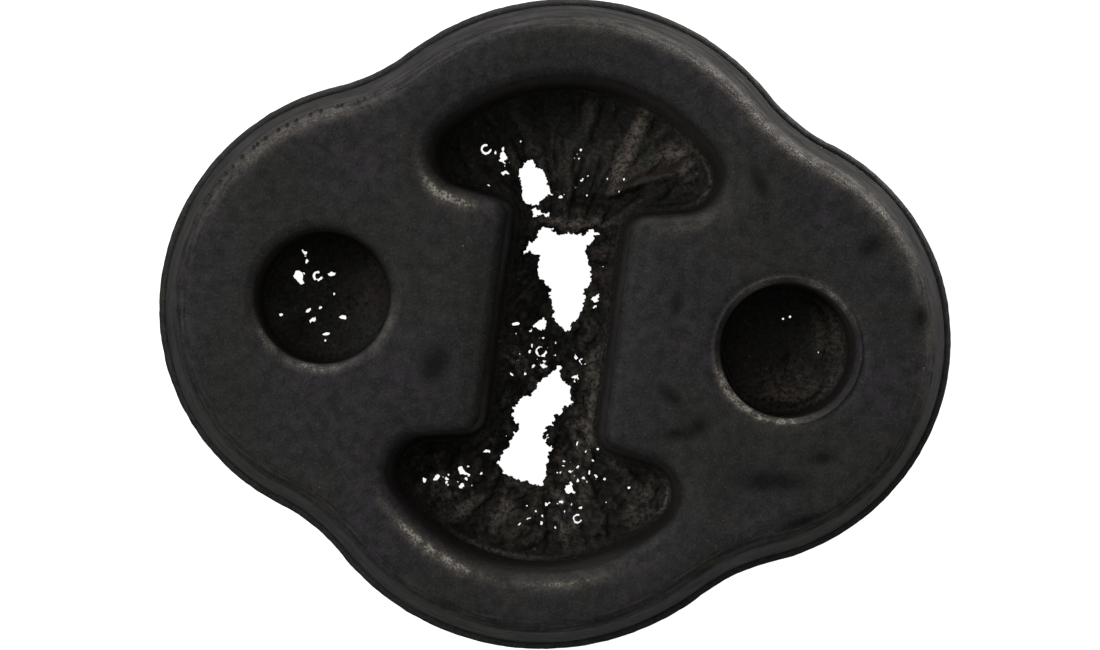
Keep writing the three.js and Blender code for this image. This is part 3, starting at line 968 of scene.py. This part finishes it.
# Folds fan out from the middle of each head: degrees apart, mm long and mm high.
BROAD_FAN, UPPER_FINE_FAN, LOWER_FINE_FAN = (9.0, 7.0, 0.35), (3.6, 3.0, 0.42), (3.6, 3.0, 0.30)
# Crumbly lumps and the curl of the torn edges: (mm wide, mm high).
LUMPS, CURLS = ((1.1, 0.40), (0.5, 0.30)), ((2.4, 0.7), (0.5, 0.35))
FAN_START, CURL_REACH, FLAT_AT_WALL = 6, 0.7, 1.2


def line_distance(points, line):
    line = np.array(line, float)
    start, step = line[:-1], np.diff(line, axis=0)
    offset = points[:, None, :] - start
    share = np.clip((offset * step).sum(axis=2) / (step**2).sum(axis=1), 0, 1)
    return np.linalg.norm(offset - share[..., None] * step, axis=2).min(axis=1)


def fold_height(points, wall_distance, edge_distance):
    """Height in mm above the parting line."""
    upper = points[:, 1] > 0
    head = np.where(upper, 1, -1) * CAP_SPACING / 2
    bearing = np.degrees(np.arctan2(points[:, 1] - head, points[:, 0]))
    reach = np.hypot(points[:, 0], points[:, 1] - head)
    height = np.zeros(len(points))
    fans = ((BROAD_FAN, 2.2, 1), (UPPER_FINE_FAN, 7.4, upper), (LOWER_FINE_FAN, 7.4, ~upper))
    for (apart, length, lift), seed, where in fans:
        streaks = smooth_noise(np.column_stack([bearing / apart, reach / length]), 1.0, seed)
        height += lift * streaks * np.clip(reach / FAN_START, 0, 1) * where
    # The lower half of the skin and all torn edges are the most crumbly.
    crumbly = 0.3 + 0.6 * np.exp(-edge_distance / 2.5) + 0.5 * np.clip((6 - points[:, 1]) / 12, 0, 1)
    curl = np.exp(-edge_distance / CURL_REACH)
    for amount, lumps, seeds in ((crumbly, LUMPS, (4.9, 6.6)), (curl, CURLS, (12.5, 15.1))):
        for (size, lift), seed in zip(lumps, seeds):
            height += amount * lift * smooth_noise(points, size, seed)
    for line, width, lift in FOLDS:
        height += lift * np.exp(-((line_distance(points, line) / width) ** 2))
    return height * np.clip(wall_distance / FLAT_AT_WALL, 0, 1)


def lip_profile(wall_distance):
    return np.exp(-(((wall_distance - LIP_WIDTH) / LIP_WIDTH) ** 2))


def crest_mask(heights):
    """1 on the crests of a skin, 0 in its hollows."""
    hollow, crest_light = np.percentile(heights, (35, 92))
    return np.clip((heights - hollow) / (crest_light - hollow), 0, 1)


def dust_mask(points, patches):
    """How much dust lies at each point, 1 in the middle of a patch."""
    mask = np.zeros(len(points))
    for x, y, width, length, turn in patches:
        mask = np.maximum(mask, bell(points, x, y, width, length, turn))
    return mask


wall_distance = distance_and_side(leaning(slot_ring), skin_points)[0]
edge_distance = np.abs(tear_distance(skin_points))
folds = fold_height(skin_points, wall_distance, edge_distance)
print("folds reach from", round(float(folds.min()), 2), "to", round(float(folds.max()), 2), "mm")


# %% Give a skin its thickness
def skin_piece(name, points, heights, faces, thickness, masks):
    """A sheet at the parting line, made into a closed skin."""
    piece = smooth_object(name, np.column_stack([points, MID_HEIGHT + heights]), faces)
    for label, values in masks.items():
        add_mask(piece, label, values)
    solid = piece.modifiers.new("thickness", "SOLIDIFY")
    solid.thickness = thickness * MM
    solid.offset = 0
    depsgraph = bpy.context.evaluated_depsgraph_get()
    result = bpy.data.meshes.new_from_object(piece.evaluated_get(depsgraph))
    piece.modifiers.clear()
    piece.data = result
    facing_outwards(piece)
    piece.data.shade_smooth()
    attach(piece, "root")
    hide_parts("hanger_body")
    return piece


DUST_OVERALL = 0.12
crumbling = np.exp(-edge_distance / 1.1) * np.clip(wall_distance / 0.8, 0, 1)
lip = lip_profile(wall_distance)
# The lip's painted highlight goes into the dust mask and the crest light.
lip_highlight = lip * dust_mask(skin_points, LIP_HIGHLIGHT_PLACES)
slot_skin = skin_piece("slot_skin", skin_points, folds + LIP_HEIGHT * lip, skin_faces, SKIN_THICKNESS, {
    "dust_and_highlight": np.maximum(np.maximum(dust_mask(skin_points, DUST), DUST_OVERALL), lip_highlight),
    "crest_light": np.maximum(crest_mask(folds), lip_highlight), "crumbling": crumbling})

# %% Skins in the bores
# x, y, width, length and direction of the holes, in mm from the bore's own middle.
LEFT_PINHOLES = [(-2.9, 1.6, 1.15, 1.3, 20), (-2.4, 3.4, 0.5, 1.0, -70), (0.4, 2.2, 0.5, 0.6, 0),
                 (-1.1, -2.3, 0.5, 0.75, 15), (1.9, -1.7, 0.4, 0.8, 0), (-1.6, -1.4, 0.3, 0.65, 50),
                 (-0.5, -1.0, 0.3, 0.4, 40), (0.3, -3.4, 0.3, 0.8, 15), (-4.1, -2.1, 0.28, 0.4, 20),
                 (0.6, 0.4, 0.2, 0.35, 80), (-0.1, 2.2, 0.18, 0.28, 0), (0.3, -4.0, 0.2, 0.35, 70)]
LEFT_RING_HOLE = (-1.1, 1.9, 0.49, 0.25)
RIGHT_PINHOLES = [(0.28, 3.2, 0.25, 0.32, 30), (-0.32, 2.95, 0.23, 0.28, 30), (3.3, 0.2, 0.22, 0.24, 0)]
# Holes narrower than this keep an even edge, because bites would close them.
EVEN_HOLE_WIDTH = 0.36


def bore_skin(name, centre, holes, folds, dust, ring_hole=None):
    half = BORE_DIAMETER / 2 + SKIN_TUCK
    rows = hexagonal_grid((-half - 0.4, -half - 0.4), (half + 0.6, half + 0.6), SKIN_PITCH)

    def value_at(points):
        value = half - np.hypot(points[:, 0], points[:, 1])
        for hole in holes:
            gap = ellipse_distance(points, *hole)
            if hole[2] >= EVEN_HOLE_WIDTH:
                gap = roughened(gap, points, 3.3) + 0.05
            value = np.minimum(value, gap)
        return np.minimum(value, ring_distance(points, *ring_hole)) if ring_hole else value

    points, faces = largest_sheet(*cut_grid(rows, value_at))
    height = 0.25 * smooth_noise(points, 3.0, len(holes)) + 0.08 * smooth_noise(points, 0.9, 2.0)
    for line, width, lift in folds:
        height += lift * np.exp(-((line_distance(points, line) / width) ** 2))
    from_wall = np.abs(BORE_DIAMETER / 2 - np.hypot(points[:, 0], points[:, 1]))
    height *= np.clip(from_wall / 1.0, 0, 1)
    # Painted light: a bore's skin gets at least half of the crest light, so it reads lighter deep in its
    # bore.
    masks = {"dust_and_highlight": dust_mask(points, dust), "crest_light": 0.5 + 0.5 * crest_mask(height),
             "crumbling": np.exp(-(np.hypot(points[:, 0], points[:, 1]) / 2.4) ** 2)}
    height += LIP_HEIGHT * lip_profile(from_wall)
    return skin_piece(name, points + centre, height, faces, SKIN_THICKNESS, masks)


left_skin = bore_skin("left_bore_skin", bore_centres[0], LEFT_PINHOLES, [], [], LEFT_RING_HOLE)
RIGHT_FOLDS = [
    ([(0.4, -0.5), (0.2, -1.8), (0.8, -2.9), (2.0, -3.4)], 0.25, -0.35),
    ([(2.4, 4.2), (3.2, 2.0), (3.3, 0.0)], 0.8, 0.9),
    ([(-1.0, -4.2), (1.5, -4.6), (3.6, -3.2)], 0.7, 0.5),
]
RIGHT_DUST = [(4.4, 1.8, 1.7, 4.0, 96), (4.9, -2.4, 0.6, 3.2, 60), (0.8, -3.2, 2.6, 3.8, 10)]
right_skin = bore_skin("right_bore_skin", bore_centres[1], RIGHT_PINHOLES, RIGHT_FOLDS, RIGHT_DUST)

# %% [markdown]
# ### The skin's own finish
#
# It is the same rubber, but it tore instead of lying against steel, so it is dull and crumbly, and dust and
# mould wax stay in it. That gives olive and brown patches, lighter than the moulding's partly for the dust
# and partly as painted light for skins that lie deep in shade. The crests of its folds are painted lighter
# and their hollows carry painted shade, and small painted glints lie on its crumbs.

# %% Torn rubber
CRUMB_GRAIN, DUST_PATCH = 0.34, 2.4
# The olive and brown are lighter than the moulded rubber, partly dust and partly painted light for the deep
# skins; the hollow black is painted shade and the glint colour a painted glint.
OLIVE_TORN, BROWN_TORN, TORN_SHADE_BLACK = "#4b4e42", "#584c46", "#0e0e0d"
TORN_DUST, TORN_GLINT = "#a99c90", "#d8d2c8"
TORN_ROUGHNESS, TORN_BUMP = (0.75, 0.42), (0.18, 0.9)


def torn_rubber():
    material, tree, shader = new_material("torn_black_rubber")
    here = add_node(tree, "ShaderNodeTexCoord").outputs["Object"]
    patches = noise_of(tree, here, DUST_PATCH, 3.0)
    crumbs = noise_of(tree, here, CRUMB_GRAIN, 4.0, 0.75)
    tint = mix_colours(tree, spread(tree, patches, 0.42, 0.58), OLIVE_TORN, BROWN_TORN)
    settled = arithmetic(tree, "MULTIPLY", number_on(tree, "dust_and_highlight"), spread(tree, crumbs, 0.36, 0.56))
    dusted = mix_colours(tree, settled, tint, TORN_DUST)
    # Painted light and shade: the crests of the folds and the lip are lighter, their hollows go to the shade
    # black.
    on_crest = spread(tree, number_on(tree, "crest_light"), 0.0, 1.0, 0.18, 1.0)
    lit = arithmetic(tree, "MULTIPLY", on_crest, spread(tree, crumbs, 0.34, 0.58, 0.25, 1.0))
    shade = mix_colours(tree, lit, TORN_SHADE_BLACK, dusted)
    # Painted glints on the peaks of the crumb pattern.
    glint = mix_colours(tree, spread(tree, crumbs, 0.66, 0.74, 0.0, 0.9), shade, TORN_GLINT)
    tree.links.new(glint, shader.inputs["Base Color"])
    tree.links.new(spread(tree, crumbs, 0.3, 0.7, *TORN_ROUGHNESS), shader.inputs["Roughness"])
    shader.inputs["IOR"].default_value = RUBBER_IOR
    depth, strength = TORN_BUMP
    rough = add_node(tree, "ShaderNodeBump", {"Height": crumbs, "Distance": depth * MM, "Strength": strength})
    tree.links.new(rough.outputs[0], shader.inputs["Normal"])
    return material


torn = torn_rubber()
for skin in (slot_skin, left_skin, right_skin):
    skin.data.materials.clear()
    skin.data.materials.append(torn)
print("torn rubber on:", [skin.name for skin in (slot_skin, left_skin, right_skin)])

# %% [markdown]
# ### Crumbs
#
# Torn rubber sheds crumbs, and they cling along the tears. They are many, alike and follow a surface, so
# Geometry Nodes scatter them: more where the skin's own number for crumbling is high, each one a small
# squashed ball with its own size and turn. A crumb has only twenty faces, because there are nearly two
# thousand. Placing them by hand would take hours and look combed.

# %% A tree that scatters crumbs
CRUMB_RADIUS = 0.22
CRUMBS_PER_MM2 = 7.0
SMALLEST_CRUMB, FLATTEST_CRUMB, CRUMB_SEED = 0.30, 0.5, 3


def crumb_tree():
    tree, given, result = new_tree("crumb_scatter", {
        "Per square metre": ("NodeSocketFloat", CRUMBS_PER_MM2 / MM**2),
        "Radius": ("NodeSocketFloat", CRUMB_RADIUS * MM),
        "Smallest": ("NodeSocketFloat", SMALLEST_CRUMB),
        "Flattest": ("NodeSocketFloat", FLATTEST_CRUMB),
        "Seed": ("NodeSocketInt", CRUMB_SEED),
        "Material": ("NodeSocketMaterial", None),
    })
    radius, seed, least = given.outputs["Radius"], given.outputs["Seed"], given.outputs["Smallest"]
    crumbling = add_node(tree, "GeometryNodeInputNamedAttribute", {"Name": "crumbling"}, data_type="FLOAT")
    density = arithmetic(tree, "MULTIPLY", crumbling.outputs[0], given.outputs["Per square metre"])
    spots = add_node(tree, "GeometryNodeDistributePointsOnFaces",
                     {"Mesh": given.outputs["Geometry"], "Density": density, "Seed": seed})
    ball = add_node(tree, "GeometryNodeMeshIcoSphere", {"Radius": radius, "Subdivisions": 1})
    turn = add_node(tree, "FunctionNodeRandomValue", {0: (0, 0, 0), 1: (6.28, 6.28, 6.28), "Seed": seed},
                    data_type="FLOAT_VECTOR")
    flattest = arithmetic(tree, "MULTIPLY", least, given.outputs["Flattest"])
    smallest = add_node(tree, "ShaderNodeCombineXYZ", {0: least, 1: least, 2: flattest})
    stretch = add_node(tree, "FunctionNodeRandomValue",
                       {0: smallest.outputs[0], 1: (1.0, 1.0, 1.0), "Seed": seed}, data_type="FLOAT_VECTOR")
    placed = add_node(tree, "GeometryNodeInstanceOnPoints",
                      {"Points": spots.outputs[0], "Instance": ball.outputs[0], "Rotation": turn.outputs[0],
                       "Scale": stretch.outputs[0]})
    plain = add_node(tree, "GeometryNodeRealizeInstances", {"Geometry": placed.outputs[0]})
    finished = add_node(tree, "GeometryNodeSetMaterial",
                        {"Geometry": plain.outputs[0], "Material": given.outputs["Material"]})
    tree.links.new(finished.outputs[0], result.inputs[0])
    return tree


# %% Scatter the crumbs
LEFT_BORE_SHARE = 0.35

scatter = crumb_tree()
for skin, share in ((slot_skin, 1.0), (left_skin, LEFT_BORE_SHARE)):
    crumbs = bpy.data.objects.new(skin.name.replace("skin", "crumbs"), skin.data.copy())
    bpy.context.scene.collection.objects.link(crumbs)
    grown(crumbs, scatter, {"Per square metre": share * CRUMBS_PER_MM2 / MM**2, "Material": torn})
    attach(crumbs, "root")
    print(crumbs.name, "faces:", len(crumbs.data.polygons))

# %% [markdown]
# ### Dust, wear and painted highlight
#
# Handling rubs the rims pale, and dust gathers on them and deep in the holes. On the rims and on the lit side
# of the shoulder that pale colour is also a painted highlight. A row of vent pits lies on one shoulder,
# painted black as painted shade. The patterns of the rubber say what dust and pits look like, and numbers on
# the points say where they are, so one material serves the whole moulding. Painting a texture by hand could
# do the same, but it would need an unwrapped copy and an image file.

# %% Where the moulding carries dust, wear and a painted highlight
# x, y, width, length, direction and amount of the places where dust and a painted highlight lie on a rim.
RIM_DUST_AND_HIGHLIGHT = [
    (-11.3, 10.9, 2.4, 4.0, -27, 1.0), (11.0, 11.3, 1.8, 4.0, 23, 0.45), (-9.2, -22.2, 3.0, 8.0, -26, 0.9),
    (3.2, -23.6, 2.4, 8.0, 10, 0.45), (-13.6, -19.6, 1.6, 4.0, -50, 0.5), (16.4, -4.8, 2.4, 6.0, -48, 0.9),
    (22.0, -6.8, 2.0, 4.0, 5, 0.6), (19.2, -6.3, 1.8, 3.5, -22, 0.85), (-26.3, -4.8, 1.8, 3.5, -45, 0.45),
    (24.8, 5.6, 1.4, 6.0, -30, 0.5), (18.0, 5.5, 1.4, 4.0, 38, 0.3), (-21.5, -6.8, 2.2, 7.0, 0, 0.5),
    (-15.2, -2.4, 1.6, 4.0, 70, 0.35),
]
RIM_WIDTH, BORE_DUST_RADIUS = 0.5, 6.5
HOLE_DUST, SHOULDER_DUST_AND_HIGHLIGHT, PIT_DUST = 0.22, 0.65, 0.55
# How far in from the outline the shoulder's dust and painted highlight lie, and how wide they are, in mm.
SHOULDER_INSET, SHOULDER_WIDTH = 2.3, 0.7
# Bearings from the middle of the part, in degrees: the lit side of the shoulder, where the dust also stands
# for a painted highlight, and the pits.
LIT_SIDE_BEARING, LIT_SIDE_HALF_SWEEP = 44, 36
PIT_BEARING, PIT_HALF_SWEEP = 151, 15


def near_rims(flat):
    """1 on the rims of the slot and the bores, falling to nothing beside them."""
    away = distance_and_side(face_rings[1], flat)[0]
    for centre in bore_centres:
        away = np.minimum(away, np.abs(np.hypot(*(flat - centre).T) - BORE_DUST_RADIUS))
    return np.exp(-((away / RIM_WIDTH) ** 2))


def in_zone(bearing, middle, half_sweep):
    """1 in a sector of the part as seen from above, with soft ends."""
    off = np.abs((bearing - middle + 180) % 360 - 180)
    return np.clip(1.5 - off / half_sweep, 0, 1)


shape = vertex_positions(moulding)
flat = shape[:, :2]
bearing = np.degrees(np.arctan2(shape[:, 1], shape[:, 0]))
pitted = in_zone(bearing, PIT_BEARING, PIT_HALF_SWEEP)
amount = np.max([share * bell(shape, *place) for *place, share in RIM_DUST_AND_HIGHLIGHT], axis=0)
wear_and_highlight = np.minimum(near_rims(flat) * amount * 1.6, 1)
inset = distance_and_side(leaning(body_ring), flat)[0]
shoulder = np.exp(-(((inset - SHOULDER_INSET) / SHOULDER_WIDTH) ** 2))
# Dust and a painted highlight on the lit side of the shoulder.
lit_side_zone = SHOULDER_DUST_AND_HIGHLIGHT * in_zone(bearing, LIT_SIDE_BEARING, LIT_SIDE_HALF_SWEEP)
wear_and_highlight = np.maximum(wear_and_highlight, shoulder * np.maximum(PIT_DUST * pitted, lit_side_zone))
wear_and_highlight *= np.clip((shape[:, 2] - THICKNESS + 4) / 3, 0, 1)
in_bore = np.min([np.hypot(*(flat - centre).T) for centre in bore_centres], axis=0) < BORE_DIAMETER / 2 + 1
deep = np.clip((THICKNESS - 1 - shape[:, 2]) / 3, 0, 1)
wear_and_highlight = np.maximum(wear_and_highlight, HOLE_DUST * (in_slot | in_bore) * deep)
add_mask(moulding, "wear_and_highlight", wear_and_highlight)
add_mask(moulding, "pitted", pitted)
add_mask(moulding, "inset_mm", inset)
print("points with dust:", int((wear_and_highlight > 0.1).sum()), "of", len(wear_and_highlight))
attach(moulding, "root")
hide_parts("hanger_body")

# %% [markdown]
# ## Floor, light and camera
#
# The part lies on a light table, a pale acrylic sheet lit from below, so the tears show white. Black rubber
# shows its form by what it mirrors. So strip lights stand level with the part and graze its shoulder, a
# small one draws the rims of the holes, and soft ones high on the left reach down to the skins. The camera
# looks straight down from 0.7 m, turned a little about its own axis.

# %% Light table
LIGHT_TABLE_GLOW = 1.0
ACRYLIC_ROUGHNESS, HAZE_SIZE = 0.6, 400


def lit_acrylic():
    material, tree, shader = new_material("lit_acrylic_sheet")
    here = add_node(tree, "ShaderNodeTexCoord").outputs["Object"]
    settings = {"Vector": here, "Scale": per_metre(HAZE_SIZE), "Detail": 1.0}
    haze = add_node(tree, "ShaderNodeTexNoise", settings).outputs[0]
    tree.links.new(mix_colours(tree, haze, "#f4f4f4", "#fafafa"), shader.inputs["Base Color"])
    shader.inputs["Roughness"].default_value = ACRYLIC_ROUGHNESS
    shader.inputs["Emission Color"].default_value = linear("#ffffff")
    shader.inputs["Emission Strength"].default_value = LIGHT_TABLE_GLOW
    return material


FLOOR_HALF = 3.0
FLOOR_DROP = 0.05 * MM
floor_mesh = bpy.data.meshes.new("light_table")
corners = [(x * FLOOR_HALF, y * FLOOR_HALF, -FLOOR_DROP) for x, y in ((-1, -1), (1, -1), (1, 1), (-1, 1))]
floor_mesh.from_pydata(corners, [], [(0, 1, 2, 3)])
floor_mesh.materials.append(lit_acrylic())
floor = bpy.data.objects.new("light_table", floor_mesh)
bpy.context.scene.collection.objects.link(floor)
# Only the camera sees the table. Its light stays off the part, as if black card lay all round.
floor.visible_diffuse = False
floor.visible_glossy = False
print("light table:", 2 * FLOOR_HALF, "m wide,", FLOOR_DROP / MM, "mm below the part")

# %% Lights
PHOTO_TURN = 6.6
LIGHT_DISTANCE = 0.5


def softbox(name, bearing, elevation, width, height, watts):
    """A light that faces the part from half a metre. The bearing is in degrees from the picture's right."""
    light = bpy.data.lights.new(name, "AREA")
    light.shape = "RECTANGLE"
    light.size, light.size_y = width, height
    light.energy = watts
    lamp = bpy.data.objects.new(name, light)
    angle = bearing + PHOTO_TURN
    away = Vector((cosine(angle) * cosine(elevation), sine(angle) * cosine(elevation), sine(elevation)))
    lamp.location = away * LIGHT_DISTANCE
    lamp.rotation_euler = away.to_track_quat("Z", "Y").to_euler()
    bpy.context.scene.collection.objects.link(lamp)
    return lamp


softbox("grazing_key", 52, 0, 0.20, 0.04, 2.9)
softbox("rim_key", 100, 12, 0.12, 0.12, 0.55)
softbox("grazing_right", 22, 0, 0.20, 0.03, 0.28)
softbox("grazing_left", 145, 6, 0.20, 0.12, 0.35)
softbox("upper_left", 160, 60, 0.15, 0.15, 0.30)
softbox("overhead", 100, 78, 0.12, 0.12, 0.09)
softbox("low_fill", 225, 35, 0.20, 0.20, 0.15)

ROOM_STRENGTH = 0.18
world = bpy.data.worlds.new("studio")
world.use_nodes = True
room = world.node_tree.nodes["Background"]
room.inputs["Color"].default_value = linear("#f3f4f2")
room.inputs["Strength"].default_value = ROOM_STRENGTH
bpy.context.scene.world = world
bpy.context.scene.view_settings.view_transform = "Standard"
print("lights:", [light.name for light in bpy.data.lights])

# %% Camera
# Above the upper face, with the picture's width there and its middle's place from the part's, all in mm.
CAMERA_HEIGHT = 700.0
PICTURE_WIDTH_AT_FACE = 100.92
PICTURE_CENTRE_RIGHT, PICTURE_CENTRE_UP = -0.468, -0.10
SENSOR_WIDTH = 36.0

lens = bpy.data.cameras.new("camera")
lens.sensor_width = SENSOR_WIDTH
lens.lens = SENSOR_WIDTH * CAMERA_HEIGHT / PICTURE_WIDTH_AT_FACE
lens.clip_start, lens.clip_end = 0.05, 20
camera = bpy.data.objects.new("camera", lens)
right = Vector((cosine(PHOTO_TURN), sine(PHOTO_TURN), 0))
up = Vector((-sine(PHOTO_TURN), cosine(PHOTO_TURN), 0))
middle = right * PICTURE_CENTRE_RIGHT + up * PICTURE_CENTRE_UP
camera.location = (middle + Vector((0, 0, THICKNESS + CAMERA_HEIGHT))) * MM
camera.rotation_euler = (0, 0, math.radians(PHOTO_TURN))
bpy.context.scene.collection.objects.link(camera)
bpy.context.scene.camera = camera
print("lens:", round(lens.lens, 1), "mm on a sensor of", SENSOR_WIDTH, "mm")
